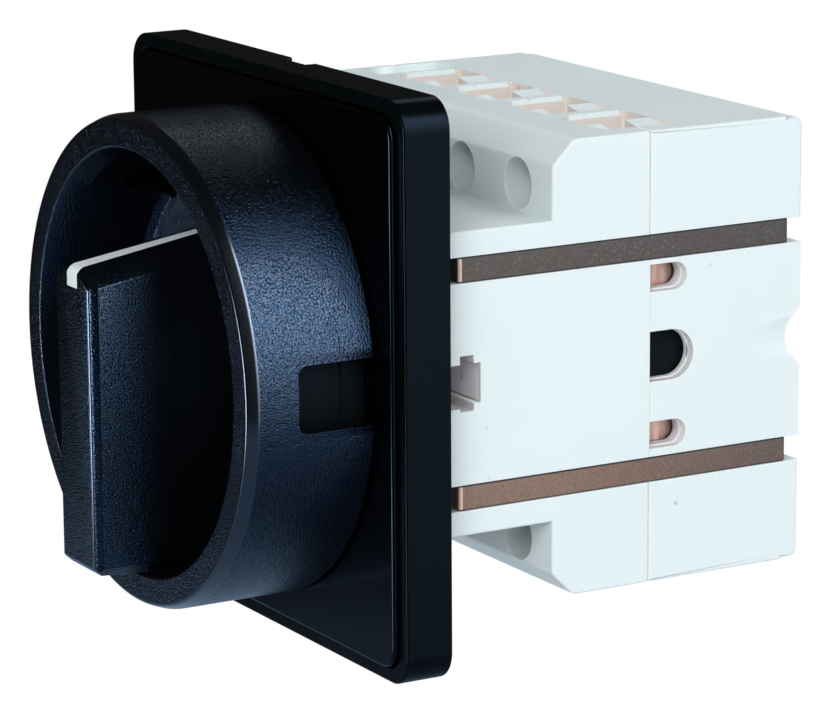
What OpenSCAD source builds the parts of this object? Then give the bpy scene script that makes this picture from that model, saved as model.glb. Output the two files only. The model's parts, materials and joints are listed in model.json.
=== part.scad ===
// Panel-mounted rotary main switch: padlockable knob and square plate in front
// of the panel, a two-part moulded contact block with four poles behind it.
// Millimetres. X to the right seen from the front, Z up, Y into the panel.
// The origin is the centre of the plate's back face, on the knob's axis.

/* [Front plate] */
// Side of the square plate
plate_w = 88; // [84:1:108]
// Thickness of the plate frame, from its back face to the front band
plate_t = 7.8; // [6.6:0.2:10]
// Radius of the plate's corners
plate_r = 4.8; // [2:0.2:8]
// Width of the band around the raised panel
band_w = 2.4; // [1.6:0.1:5]
// Height of the raised panel above the band
panel_up = 1; // [0.6:0.1:2]
// Depth of the raised panel's seat in the frame
panel_sunk = 1.8; // [1:0.1:3]
// Distance of the gasket from the plate's edge
seal_inset = 7; // [5:0.5:12]
// Width of the gasket
seal_w = 3; // [2:0.5:4]
// Width of the pry notch in the top back edge
notch_w = 7.5; // [5:0.5:12]
// Spacing of the four panel fixing holes, both ways
fix_pitch = 36; // [34:1:38]
// Diameter of the panel fixing holes
fix_d = 5; // [4:0.1:5.4]

/* [Knob] */
// Outer radius of the knob's drum
knob_r = 38; // [36:0.5:46]
// Distance of the knob's rim in front of the panel plane
rim_y = 30.5; // [28:0.5:38]
// Thickness of the drum's outer wall
drum_wall = 1.9; // [1.5:0.1:2.6]
// Width of the flat ring at the rim
rim_w = 4.3; // [3.6:0.1:5]
// Radial size of the rim's outer chamfer
rim_chamfer = 0.7; // [0.4:0.1:1.2]
// Radius of the hollow at its floor
hollow_r = 29.3; // [28:0.1:32]
// Thickness of the hollow's wall at its floor
hollow_wall = 2.3; // [2:0.1:3]
// Height of the hollow's floor in front of the panel plane
floor_y = 14; // [13.6:0.2:15]
// Width of a padlock window along the drum
window_w = 10.2; // [7:0.2:11]
// Front end of a padlock window, in front of the panel plane
window_y = 22.2; // [20:0.2:24]
// Direction of the first padlock window, above the +X axis
window_angle = 1; // [-15:1:15]
// Number of padlock windows
window_count = 3; // [1:1:3]
// Width of the grip bar
grip_w = 13; // [11:0.5:16]
// Reach of the grip bar above the axis, at its front face
grip_up = 16; // [12:0.2:18]
// Reach of the grip bar below the axis, at its front face
grip_down = 31; // [27:0.5:32]
// Distance of the grip's front face in front of the panel plane
grip_y = 40.2; // [38:0.2:46]
// Width of the bevel along the grip's front edges
grip_bevel = 1.2; // [0.6:0.1:2]
// Slope of the grip's top end, in degrees
grip_slope = 9; // [4:0.5:12]
// Slope of the grip's bottom end, in degrees
grip_draft = 5; // [2:0.5:7]
// Fall of the grip's top end to both sides of its ridge, in degrees
grip_gable = 30; // [10:1:40]
// Radius where the grip's top end turns into its front
elbow_r = 1.6; // [0.8:0.1:2.4]
// Width of the white pointer line at its front end
pointer_w = 3.6; // [2:0.1:4]
// Reach of the pointer line down the grip's front face
pointer_drop = 3.1; // [2:0.1:6]

/* [Contact block] */
// Thickness of the panel between plate and contact block
panel_t = 2; // [1:0.5:4]
// Depth of the front housing
front_len = 35.9; // [34:0.1:44]
// Depth of the rear housing
rear_len = 27.7; // [27:0.1:34]
// Height of both housings
body_h = 70.4; // [68:0.2:86]
// Height of each terminal block above and below the middle
block_h = 12; // [11.6:0.2:14]
// Distance from the housing's front to the terminal blocks
shelf_len = 18.4; // [14:0.2:19]
// Chamfer along the terminal blocks' front edges
block_chamfer = 3.8; // [2:0.2:4]
// Number of poles side by side
pole_count = 4; // [3:1:4]
// Distance between neighbouring poles
pole_pitch = 16.6; // [16:0.1:20]
// Wall beyond the last pole at the right side
edge_wall = 1.6; // [1:0.1:3]
// Width of the closed bay at the left side
side_bay = 10; // [9:0.2:14]
// Width of a pole's chamber
cell_w = 13.2; // [12.6:0.1:14]
// Thickness of the housings' outer walls
wall = 2.4; // [2:0.1:2.8]

/* [Retaining clips] */
// Width of the metal clips that hold the housings together
clip_w = 3.7; // [3:0.1:5]
// Thickness of the clips
clip_t = 0.8; // [0.6:0.1:1]
// Height of the clips above and below the axis
clip_z = 17.35; // [17:0.05:18]
// Length of a clip's hooks
clip_hook = 7; // [5:0.5:9]

/* [Terminals] */
// Diameter of the screw-access holes
access_d = 7.8; // [7:0.1:8]
// Height of the terminal screws above their shelf
screw_rise = 4.2; // [4:0.1:4.8]
// Radius of the terminal screws' shank
screw_r = 2.45; // [2:0.05:2.6]
// Width of the contact bars
bar_w = 8; // [7:0.1:8.6]
// Thickness of the contact bars
bar_t = 2; // [1.5:0.1:2.2]
// Height of the contact pads above and below the axis
pad_z = 13; // [12.6:0.1:13.6]
// Thickness of the cheeks that stand beside the contact pads
cheek_t = 1; // [0.6:0.1:1]

/* [Mechanism] */
// Side of the square drive shaft
shaft_w = 7; // [6:0.1:7.4]
// Radius of the shaft bush
bush_r = 6.5; // [6:0.1:7]
// Turn of the knob between on and off, in degrees
turn = 90; // [60:5:90]
// Stroke of the contact carrier over that turn
stroke = 5; // [4:0.2:5.2]
// Radius of the lifting cam
cam_r = 12.4; // [11.5:0.1:12.6]
// Distance of the carrier's cam noses from the axis
nose_x = 9.6; // [9:0.1:10]
// Width of the detent cam across its flats
detent_w = 14; // [13:0.2:15]
// Thickness of the detent's leaf springs
leaf_t = 0.6; // [0.4:0.1:0.8]

/* [Hidden] */
$fn = 96;
// clearances
slip = 0.05;        // running and sliding fits
seat_gap = 0.1;     // a piece in its own seat
free = 0.3;         // between pieces that pass each other
eps = 0.01;         // overshoot of cuts

// derived sizes
panel_w = plate_w - 2 * band_w;
panel_y = plate_t + panel_up;
body_y = panel_t + slip;
joint_y = body_y + front_len;
back_y = joint_y + rear_len;
body_w = pole_count * pole_pitch + edge_wall + side_bay;
half_w = body_w / 2;
half_h = body_h / 2;
shelf_z = half_h - block_h;
step_y = body_y + shelf_len;
screw_z = shelf_z + screw_rise;
cell_z = shelf_z - wall;                 // floor of the terminal chambers
roof_z = half_h - wall + 0.4;
inner_w = half_w - wall;                 // half width of the middle space
core_z = cam_r + 2 * free;               // half height of the middle space
drum_in = knob_r - drum_wall;
drum_y = panel_y + 0.5;                  // back edge of the drum
under_y = floor_y - 2;                   // back face of the hollow's floor
hollow_out = hollow_r + hollow_wall;
rim_in = knob_r - rim_chamfer - rim_w;
collar_in = hollow_out + 0.4;
collar_out = collar_in + 1.4;
collar_y = window_y - 0.8;
flange_y = panel_y + 2;                  // front face of the collar's flange
cell_y = step_y + 5;                     // front of the terminal chambers
clamp_y = cell_y + 3.6;                  // front of the box clamps
bar_y = joint_y + 2.1;                   // front face of the contact bars
clamp_w = bar_w + 2.6;
clamp_wall = 1.1;
clamp_back = bar_y + bar_t + clamp_wall + seat_gap;
clamp_h = 9;
window_front = joint_y - 5.6;            // front edge of the wire windows
window_back = joint_y + 6.7;
window_left = cell_w / 2 + 1.4;          // their far wall, left of the pole's middle
bar_in = pad_z - 3.5;                    // inner end of the contact bars
pad_r = 3;
pad_t = 1;
bridge_y = bar_y + bar_t + 2 * pad_t + slip;
bridge_t = 1.8;
bridge_reach = pad_z + 3.6;
carrier_y = joint_y + 1.1;
carrier_z = 7.2;
carrier_back = carrier_y + 17;
bridge_slot = bridge_y + 10.2;           // back of the carrier's windows
space_back = carrier_back + stroke + 0.4; // back of the carrier's space
shaft_end = joint_y - 0.3;
frame_t = 1.4;
frame_y = body_y + wall + seat_gap;
pocket_y = body_y + 5.85;                // front face of the frame's ends
pocket_x = half_w - 8.6;                 // inner end of the side pockets
frame_end = half_w - 1;
leaf_y = frame_y + frame_t + 2.3;
leaf_len = 4.4;
cam_y = joint_y - 10.9;                  // back half of the lifting cam
cam_low = cam_y + 4;                     // low end of its ramps
detent_y = leaf_y - 0.2;
detent_len = leaf_len + 0.4;
tie_x = 11;                              // plate screws beside the shaft
tie_r = 1.7;
spring_wire = 0.4;
return_x = [pole_x(0.5), pole_x(2.5)];

function pole_x(i) = half_w - edge_wall - pole_pitch * (i + 0.5);

// Fills an X-Z outline from y0 to y1.
module slab(y0, y1) {
    translate([0, y1, 0]) rotate([90, 0, 0]) linear_extrude(y1 - y0) children();
}
// Fills a Y-Z outline from x0 to x1.
module bar_x(x0, x1) {
    translate([x0, 0, 0]) rotate([90, 0, 90]) linear_extrude(x1 - x0) children();
}
// Turns a profile of radius and distance in front of the panel about the knob's axis.
module lathe() {
    rotate([90, 0, 0]) rotate_extrude() children();
}
module rod(y0, y1, r) {
    translate([0, y0, 0]) rotate([-90, 0, 0]) cylinder(h = y1 - y0, r = r);
}
module block(x, y, z) {
    translate([x[0], y[0], z[0]]) cube([x[1] - x[0], y[1] - y[0], z[1] - z[0]]);
}
module rounded_square(w, r) {
    square([w - 2 * r, w], center = true);
    square([w, w - 2 * r], center = true);
    for (x = [-1, 1], y = [-1, 1]) translate([x, y] * (w / 2 - r)) circle(r);
}
// Points of an arc of radius r that rounds the corner p between a and b.
function arc(a, p, b, r, n = 5) = let (
    u = (a - p) / norm(a - p), v = (b - p) / norm(b - p),
    half = acos(u * v) / 2, t = r / tan(half), w = 180 - 2 * half,
    c = p + (u + v) / norm(u + v) * r / sin(half))
    [for (k = [0:n])
        c + ((p + u * t - c) * sin(w * (1 - k / n)) + (p + v * t - c) * sin(w * k / n)) / sin(w)];
// An outline whose corners are rounded by the radii given for them.
function rounded(pts, radii) = let (n = len(pts)) [for (i = [0:n - 1])
    each (radii[i] > 0 ? arc(pts[(i + n - 1) % n], pts[i], pts[(i + 1) % n], radii[i]) : [pts[i]])];
module both_ways() {
    children();
    mirror([0, 0, 1]) children();
}
module fixing_holes(y0, y1) {
    for (x = [-1, 1], z = [-1, 1])
        translate([x * fix_pitch / 2, 0, z * fix_pitch / 2]) rod(y0, y1, fix_d / 2);
}
module tie_holes(y0, y1, r) {
    for (x = [-tie_x, tie_x]) translate([x, 0, 0]) rod(y0, y1, r);
}
// A wire of radius r wound round the Y axis, with its first turn at y0.
module coil(y0, len, mid_r, turns, r = spring_wire) {
    sides = 6;
    steps = 12;
    count = turns * steps;
    rings = [for (k = [0:count], s = [0:sides - 1])
        let (a = 360 * k / steps, b = 360 * s / sides, rr = mid_r + r * cos(b))
        [rr * cos(a), y0 + r + (len - 2 * r) * k / count + r * sin(b), rr * sin(a)]];
    sides_of = [for (k = [0:count - 1], s = [0:sides - 1])
        let (n = (s + 1) % sides)
        [k * sides + s, (k + 1) * sides + s, (k + 1) * sides + n, k * sides + n]];
    first = [for (s = [0:sides - 1]) s];
    last = [for (s = [sides - 1:-1:0]) count * sides + s];
    polyhedron(rings, concat([first], sides_of, [last]));
}

// Front plate and what is fixed to it

module front_plate() {
    color("#17181b") difference() {
        slab(-plate_t, 0) rounded_square(plate_w, plate_r);
        slab(-plate_t - eps, -plate_t + panel_sunk)
            rounded_square(panel_w + 2 * seat_gap, plate_r - band_w / 2);
        rod(-plate_t, eps, bush_r + 1);
        fixing_holes(-plate_t, eps);
        tie_holes(-plate_t, eps, tie_r + seat_gap);
        slab(-1.6, eps) seal_outline(seat_gap);
        block([-notch_w / 2, notch_w / 2], [-1.8, eps], [plate_w / 2 - 1.2, plate_w / 2 + eps]);
    }
}
module seal_outline(gap) {
    seal_out = plate_w - 2 * seal_inset;
    difference() {
        square(seal_out + 2 * gap, center = true);
        square(seal_out - 2 * seal_w - 2 * gap, center = true);
    }
}
module legend_panel() {
    color("#0f1013") difference() {
        slab(-panel_y, -plate_t + panel_sunk) rounded_square(panel_w, plate_r - band_w / 2);
        rod(-panel_y - eps, 0, bush_r + 1);
        fixing_holes(-panel_y - eps, 0);
        tie_holes(-panel_y - eps, 0, tie_r + seat_gap);
    }
}
module plate_seal() {
    color("#2c2d2f") slab(-1.5, 0) seal_outline(0);
}
module locking_collar() {
    color("#24272b") difference() {
        lathe() polygon([
            [bush_r + 1, panel_y], [collar_out, panel_y], [collar_out, 12.4],
            [collar_out - 0.3, 12.9], [collar_out - 0.3, collar_y - 0.6],
            [collar_out - 0.8, collar_y], [collar_in, collar_y],
            [collar_in, flange_y], [bush_r + 1, flange_y]]);
        fixing_holes(-flange_y - eps, 0);
        tie_holes(-flange_y - eps, 0, tie_r + seat_gap);
        for (x = [-tie_x, tie_x]) translate([x, -flange_y - eps, 0]) rotate([-90, 0, 0])
            cylinder(h = 1.8, r1 = 3.5 + seat_gap, r2 = tie_r + seat_gap);
        // the knob's windows come over these only in the off position
        turned(turn) padlock_cuts(collar_in - 1, collar_out + 1);
    }
}
module turned(angle) {
    rotate([0, -angle, 0]) children();
}
module plate_screws() {
    color("#9a9c9e") for (x = [-tie_x, tie_x]) translate([x, 0, 0]) difference() {
        union() {
            rod(-flange_y, frame_y + frame_t + 1, tie_r);
            translate([0, -flange_y, 0]) rotate([-90, 0, 0]) cylinder(h = 1.7, r1 = 3.4, r2 = tie_r);
        }
        block([-2.2, 2.2], [-flange_y - eps, -flange_y + 0.8], [-0.4, 0.4]);
    }
}

// Knob and drive train

module window_outline() {
    w = window_w / 2;
    corners = [[-window_y, -w], [-drum_y + 2, -w], [-drum_y + 2, w], [-window_y, w]];
    polygon(rounded(corners, [1.6, 0, 0, 1.6]));
}
module padlock_cuts(r0, r1) {
    for (i = [0:window_count - 1]) turned(window_angle + 120 * i) bar_x(r0, r1) window_outline();
}
module knob_profile() {
    top = rim_y - 2;
    polygon([
        [0, under_y], [hollow_out, under_y], [hollow_out, collar_y], [rim_in + 1.4, top],
        [drum_in, top], [drum_in, drum_y], [knob_r - 0.5, drum_y], [knob_r, drum_y + 0.5],
        [knob_r, rim_y - 1.8], [knob_r - rim_chamfer, rim_y], [rim_in + 0.3, rim_y],
        [rim_in, rim_y - 0.3], [rim_in - 1.5, rim_y - 3.5],
        [hollow_out - 1.144, collar_y], [hollow_r, floor_y + 1.2],
        [hollow_r - 1, floor_y], [0, floor_y]]);
}
// Outline of the grip bar seen from its side, in Y and Z, without its top.
module grip_side() {
    deep = grip_y - floor_y + 1;
    polygon([[-grip_y, -grip_down + 1.5], [-grip_y + 1.2, -grip_down],
        [-floor_y + 1, -grip_down - deep * tan(grip_draft)],
        [-floor_y + 1, grip_up + 12], [-grip_y, grip_up + 12]]);
}
// What lies below a gabled plane that touches the elbow of the grip at the given slope.
module below_gable(slope) {
    ridge = pointer_w / 2 + 0.3;
    side = grip_w / 2 + 1;
    fall = (side - ridge) * tan(grip_gable) * cos(slope);
    elbow_z = grip_up - elbow_r * (1 - sin(grip_slope)) / cos(grip_slope);
    translate([0, -grip_y + elbow_r * (1 - sin(slope)), elbow_z + elbow_r * cos(slope)])
        rotate([slope - 90, 0, 0]) translate([0, 0, -45]) linear_extrude(90) polygon([
            [-ridge, 0], [ridge, 0], [side, fall], [side, 80], [-side, 80], [-side, fall]]);
}
// The grip's top: a flat ridge for the pointer that falls to both sides and turns into the front.
module gable() {
    intersection() {
        below_gable(grip_slope);
        below_gable(36);
        below_gable(63);
    }
}
// Middle of the hollow's wall, then the rim's inner edge up to the grip's front.
grip_limit = [[0, under_y + 0.5], [hollow_out - 0.7, under_y + 0.5], [hollow_out - 0.5, collar_y],
    [rim_in, rim_y - 2.5], [rim_in, grip_y + 1], [0, grip_y + 1]];
module grip() {
    w = grip_w / 2;
    intersection() {
        bar_x(-w, w) grip_side();
        // cross-section with bevelled front edges
        translate([0, 0, -grip_down - 8]) linear_extrude(grip_down + grip_up + 20) polygon([
            [-w, -floor_y + 1], [w, -floor_y + 1], [w, -grip_y + grip_bevel], [w - grip_bevel, -grip_y],
            [-w + grip_bevel, -grip_y], [-w, -grip_y + grip_bevel]]);
        // narrower at its bottom end
        slab(-grip_y - 1, -floor_y + 1) polygon([
            [-w, grip_up + 12], [-w, -grip_down + 3], [-w + 3, -grip_down - 4],
            [w - 3, -grip_down - 4], [w, -grip_down + 3], [w, grip_up + 12]]);
        gable();
        // ends inside the hollow's wall
        lathe() polygon(grip_limit);
    }
}
// The pointer's bent path over the grip's front and top, and its taper to the back.
module pointer_path(gap) {
    deep = grip_y - floor_y - 1.5;
    t = 1.2 + gap;
    front = pointer_w / 2 + gap;
    back = 0.31 * pointer_w + gap;
    intersection() {
        bar_x(-pointer_w, pointer_w) polygon([
            [-grip_y - 1, grip_up - pointer_drop - gap], [-grip_y + t, grip_up - pointer_drop - gap],
            [-grip_y + t, grip_up - t], [-grip_y + deep, grip_up + (deep - 1) * tan(grip_slope) - t],
            [-grip_y + deep, grip_up + 12], [-grip_y - 1, grip_up + 12]]);
        linear_extrude(grip_up + 20) polygon([
            [-front, -grip_y - 2], [front, -grip_y - 2], [back, -floor_y], [-back, -floor_y]]);
    }
}
module knob() {
    color("#1b1e24") difference() {
        union() {
            difference() {
                lathe() knob_profile();
                padlock_cuts(drum_in - 1, knob_r + 1);
                difference() {
                    padlock_cuts(hollow_r - 2, hollow_out + 0.3);
                    rod(-floor_y, 0, hollow_out + 1);
                }
            }
            grip();
        }
        pointer_path(seat_gap);
        socket = shaft_w + 2 * slip;
        block([-socket / 2, socket / 2], [-floor_y - 12, -under_y + eps], [-socket / 2, socket / 2]);
        translate([0, -floor_y - 5, 0]) rotate([0, -90, 0]) cylinder(h = grip_w, r = 2);
    }
}
module pointer_insert() {
    color("#eef2ee") intersection() {
        pointer_path(0);
        bar_x(-pointer_w, pointer_w) grip_side();
        gable();
        lathe() polygon(grip_limit);
    }
}
module grip_set_screw() {
    color("#8c8f93") translate([-shaft_w / 2 - slip, -floor_y - 5, 0]) rotate([0, -90, 0]) difference() {
        cylinder(h = 2.6, r = 2 - slip);
        translate([0, 0, 1.2]) cylinder(h = 2, r = 1.15, $fn = 6);
    }
}
module square_bore(y0, y1) {
    side = shaft_w + 2 * slip;
    block([-side / 2, side / 2], [y0, y1], [-side / 2, side / 2]);
}
module drive_shaft() {
    color("#a7a9ab") difference() {
        block([-shaft_w / 2, shaft_w / 2], [-floor_y - 11.7, shaft_end], [-shaft_w / 2, shaft_w / 2]);
        // groove for the clip
        difference() {
            rod(shaft_end - 1.3, shaft_end - 0.4, shaft_w);
            rod(shaft_end - 1.4, shaft_end - 0.3, shaft_w / 2 - 0.2);
        }
    }
}
module shaft_bush() {
    color("#d9d6cc") difference() {
        union() {
            rod(-under_y + free, frame_y + frame_t + free + eps, bush_r);
            rod(frame_y + frame_t + free, detent_y - seat_gap, bush_r + 2);
        }
        square_bore(-under_y, detent_y);
    }
}
module detent_cam() {
    color("#c9c5b8") difference() {
        intersection() {
            slab(detent_y, detent_y + detent_len) square(detent_w, center = true);
            rod(detent_y, detent_y + detent_len, detent_w / 2 * 1.24);
        }
        square_bore(detent_y - eps, detent_y + detent_len + eps);
    }
}
module spacer_tube() {
    color("#b9b9b4") difference() {
        rod(detent_y + detent_len + seat_gap, cam_y - seat_gap, bush_r);
        rod(detent_y, cam_y, shaft_w / sqrt(2) + slip);
    }
}
module lifting_cam() {
    inner = nose_x - 2.4;
    color("#d8d4c6") difference() {
        union() {
            rod(cam_y, cam_low, cam_r);
            // two opposite helical ramps on the back face
            ramp(inner);
            turned(180) ramp(inner);
            rod(cam_low - eps, shaft_end - 1.35, inner - 0.6);
        }
        square_bore(cam_y - eps, shaft_end);
    }
}
// A strip whose back face rises by the stroke over the knob's turn, then stays level.
module ramp(inner) {
    step = 3;
    lead = 9;
    outer = cam_r - 0.5;
    n = ceil((turn + 3 * lead) / step);
    pts = [for (k = [0:n])
        let (q = k * step - lead, a = -q, h = cam_low + stroke * min(1, q / turn))
        each [[inner * cos(a), cam_low - 1, inner * sin(a)], [outer * cos(a), cam_low - 1, outer * sin(a)],
            [outer * cos(a), h, outer * sin(a)], [inner * cos(a), h, inner * sin(a)]]];
    walls = [for (k = [0:n - 1], s = [0:3]) let (c = 4 * k, t = (s + 1) % 4)
        each [[c + s, c + t, c + 4 + t], [c + s, c + 4 + t, c + 4 + s]]];
    polyhedron(pts, concat([[3, 2, 1, 0]], walls, [[4 * n, 4 * n + 1, 4 * n + 2, 4 * n + 3]]));
}
module shaft_clip() {
    color("#6f7276") difference() {
        rod(shaft_end - 1.25, shaft_end - 0.45, 6.4);
        rod(shaft_end - 2, shaft_end, shaft_w / 2 - 0.15);
        block([-2, 2], [shaft_end - 2, shaft_end], [0, 8]);
    }
}

// Housings

module side_outline(y0, y1) {
    polygon(rounded([[y0, -shelf_z], [step_y, -shelf_z], [step_y, -half_h + block_chamfer],
        [step_y + block_chamfer, -half_h], [y1, -half_h], [y1, half_h],
        [step_y + block_chamfer, half_h], [step_y, half_h - block_chamfer],
        [step_y, shelf_z], [y0, shelf_z]], [0, 0, 1, 2, 0.6, 0.6, 2, 1, 0, 0]));
}
// The wire window over one pole, wider than the chamber at its left, with two sloping
// sills left standing at its right: one in front, one behind the joint.
module wire_window() {
    low = half_h - wall - 1;
    right = cell_w / 2 - 1;
    sill_front = joint_y - 3;
    sill_back = joint_y + 2;
    translate([0, 0, low]) linear_extrude(half_h + 1 - low) polygon(rounded([
        [-window_left, window_front], [0.6, window_front], [0.6, sill_front], [right, sill_front],
        [right, sill_back], [-0.5, sill_back], [-0.5, window_back], [-window_left, window_back]],
        [2.2, 0, 0, 0, 0, 0, 0, 0.6]));
    for (sill = [[0.6, window_front, sill_front], [-0.5, sill_back, window_back]])
        slab(sill[1], sill[2]) polygon([
            [sill[0] - eps, half_h], [right, half_h - 1.2],
            [right, half_h + 1], [sill[0] - eps, half_h + 1]]);
    // bevel along the far wall
    slab(window_front + 2.2, window_back - 0.6) polygon([
        [-window_left - 0.7, half_h + eps], [-window_left + eps, half_h - 0.7],
        [-window_left + 1, half_h + eps]]);
}
module clip_grooves() {
    w = clip_w / 2 + seat_gap;
    deep = clip_t + seat_gap;
    for (x = [-1, 1], z = [-clip_z, clip_z]) {
        block([x * half_w - deep, x * half_w + deep], [body_y - 1, back_y + 1], [z - w, z + w]);
        // slots for the hooks, with the clip's ends sunk behind both faces
        hook_cut(x, z, w, body_y - 1, body_y + 2.1 + clip_t + seat_gap);
        hook_cut(x, z, w, back_y - 2.3 - clip_t - seat_gap, back_y + 1);
    }
}
module hook_cut(x, z, w, y0, y1) {
    x1 = x * (half_w - clip_hook - seat_gap);
    block([min(x1, x * (half_w + 1)), max(x1, x * (half_w + 1))], [y0, y1], [z - w, z + w]);
}
module front_housing() {
    color("#e9eeec") difference() {
        union() {
            bar_x(-half_w, half_w) side_outline(body_y, joint_y);
            rod(0, body_y + 1, 15);
        }
        // middle space for the drive
        block([-inner_w, inner_w], [body_y + wall, joint_y + 1], [-core_z, core_z]);
        rod(-1, frame_y, bush_r + slip);
        tie_holes(-1, frame_y, tie_r + seat_gap);
        fixing_holes(-1, body_y + 12);
        clip_grooves();
        both_ways() for (i = [0:pole_count - 1]) translate([pole_x(i), 0, 0]) {
            block([-cell_w / 2, cell_w / 2], [cell_y, joint_y + 1], [cell_z, roof_z]);
            translate([0, 0, screw_z]) rod(step_y - 1, cell_y + 1, access_d / 2);
            wire_window();
        }
        both_ways() side_bay_recess();
        both_sides() {
            block([pocket_x, half_w + 1], [body_y - 1, body_y + 2.4], [-3.6, 3.05]);
            // groove that guides the frame's end
            block([inner_w - 1, frame_end + seat_gap], [pocket_y - slip, joint_y + 1], [-3, 3]);
        }
        side_pockets();
    }
    // walls round the pockets in front of the frame's ends
    color("#e9eeec") difference() {
        both_sides()
            block([pocket_x - 1.8, inner_w + eps], [body_y + wall - eps, pocket_y - slip], [-5.6, 5.8]);
        side_pockets();
    }
    // posts that hold the ends of the leaf springs
    color("#e9eeec") both_ways() both_sides() difference() {
        block([10.6, 14.2], [body_y + wall - eps, leaf_y + leaf_len + 0.6], [6, core_z + eps]);
        block([9, 13.4], [leaf_y - seat_gap, leaf_y + leaf_len + 2],
            [detent_w / 2, detent_w / 2 + leaf_t + 2 * slip]);
    }
}
module both_sides() {
    children();
    mirror([1, 0, 0]) children();
}
// The stepped pocket in each side wall, closed behind by the frame's end.
module side_pockets() {
    both_sides() {
        block([pocket_x, half_w + 1], [body_y + 2.35, body_y + 4.65], [-4.1, 4.35]);
        block([pocket_x, half_w + 1], [body_y + 4.6, pocket_y], [-2.95, 3.15]);
    }
}
module side_bay_recess() {
    x = [-half_w + 1.5, -half_w + side_bay - 1.5];
    block(x, [window_front - 1.5, window_back + 1], [half_h - 1.4, half_h + 1]);
    block(x, [joint_y - 0.5, joint_y + 0.5], [half_h - 3.6, half_h]);
}
module rear_housing() {
    color("#e9eeec") difference() {
        // with a low step along the top and bottom back edges
        bar_x(-half_w, half_w) polygon(rounded([
            [joint_y, -half_h], [back_y - 2.8, -half_h], [back_y - 2.8, -half_h + 0.3],
            [back_y, -half_h + 0.3], [back_y, half_h - 0.3], [back_y - 2.8, half_h - 0.3],
            [back_y - 2.8, half_h], [joint_y, half_h]], [0.3, 0, 0, 1.2, 1.2, 0, 0, 0.3]));
        // middle space for the carrier
        block([-inner_w, inner_w], [joint_y - 1, space_back], [-carrier_z - free, carrier_z + free]);
        clip_grooves();
        both_ways() side_bay_recess();
        for (i = [0:pole_count - 1]) translate([pole_x(i), 0, 0]) {
            // arc chamber for the bridge's travel
            block([-cell_w / 2, cell_w / 2], [joint_y - 1, bridge_y + bridge_t + stroke + 1],
                [-bridge_reach - 1, bridge_reach + 1]);
            both_ways() {
                block([-cell_w / 2, cell_w / 2], [joint_y - 1, clamp_back + 0.6], [cell_z, roof_z]);
                // seat behind the contact bar
                block([-cell_w / 2, cell_w / 2], [joint_y - 1, bar_y + bar_t + seat_gap], [0, cell_z + 1]);
                wire_window();
            }
        }
        both_sides() {
            sight_hole(0.3, 3.9, joint_y + 4);
            sight_hole(pad_z - 0.5, 2.1, joint_y + 4.5);
            sight_hole(-pad_z + 1, 2.1, joint_y + 4.5);
            // thumb notch in the back edge with a shallow scoop leading to it
            translate([half_w - 9, back_y + 3.5, 0.5]) rotate([0, 90, 0]) cylinder(h = 12, r = 5.8);
            translate([half_w + 8.06, back_y - 14.6, 0.5]) rotate([-90, 0, 3.4]) cylinder(h = 20, r = 8);
        }
    }
}
// A D-shaped opening at the joint, a little wider in its outer part.
module sight_hole(z, r, y) {
    translate([0, 0, z]) {
        for (step = [[r - 0.25, half_w - 8], [r, half_w - 1.4]]) {
            bar_x(step[1], half_w + 1) {
                translate([y, 0]) circle(step[0]);
                translate([joint_y - 1, -step[0]]) square([y - joint_y + 1, 2 * step[0]]);
            }
        }
    }
}
module mounting_frame() {
    bend = pocket_x - 4.2;
    color("#8f9294") difference() {
        union() {
            block([-9.8, 9.8], [frame_y, frame_y + frame_t], [-11, 11]);
            block([-bend, bend], [frame_y, frame_y + frame_t], [-5, 5]);
            // ends set back behind the side pockets
            both_sides() {
                block([bend - frame_t, bend], [frame_y, pocket_y + frame_t], [-5, 5]);
                block([bend - frame_t, frame_end], [pocket_y, pocket_y + frame_t], [-2.9, 2.9]);
            }
        }
        rod(frame_y - 1, frame_y + 3, bush_r + 0.4);
        tie_holes(frame_y - 1, frame_y + 3, tie_r + slip);
        both_sides() translate([half_w - 5.9, 0, -0.3]) rod(pocket_y - 1, pocket_y + 3, 0.55);
    }
}
module detent_leaf() {
    z = detent_w / 2 + slip;
    color("#b4b6b8") block([-13, 13], [leaf_y, leaf_y + leaf_len], [z, z + leaf_t]);
}
module detent_spring_upper() {
    detent_leaf();
}
module detent_spring_lower() {
    mirror([0, 0, 1]) detent_leaf();
}
// Clips 1 and 2 lie on the right side, 3 and 4 on the left; odd ones above.
module retaining_clip(i) {
    z = (i % 2 == 1) ? clip_z : -clip_z;
    front = body_y + 2.1;
    back = back_y - 2.3;
    color("#7d5f4c") mirror([i > 2 ? 1 : 0, 0, 0])
        translate([0, 0, z - clip_w / 2]) linear_extrude(clip_w) polygon(rounded([
            [half_w - clip_hook, front], [half_w, front], [half_w, back],
            [half_w - clip_hook, back], [half_w - clip_hook, back - clip_t],
            [half_w - clip_t, back - clip_t], [half_w - clip_t, front + clip_t],
            [half_w - clip_hook, front + clip_t]], [0, 0.7, 0.7, 0, 0, 0, 0, 0]));
}

// Terminals and contacts

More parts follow.
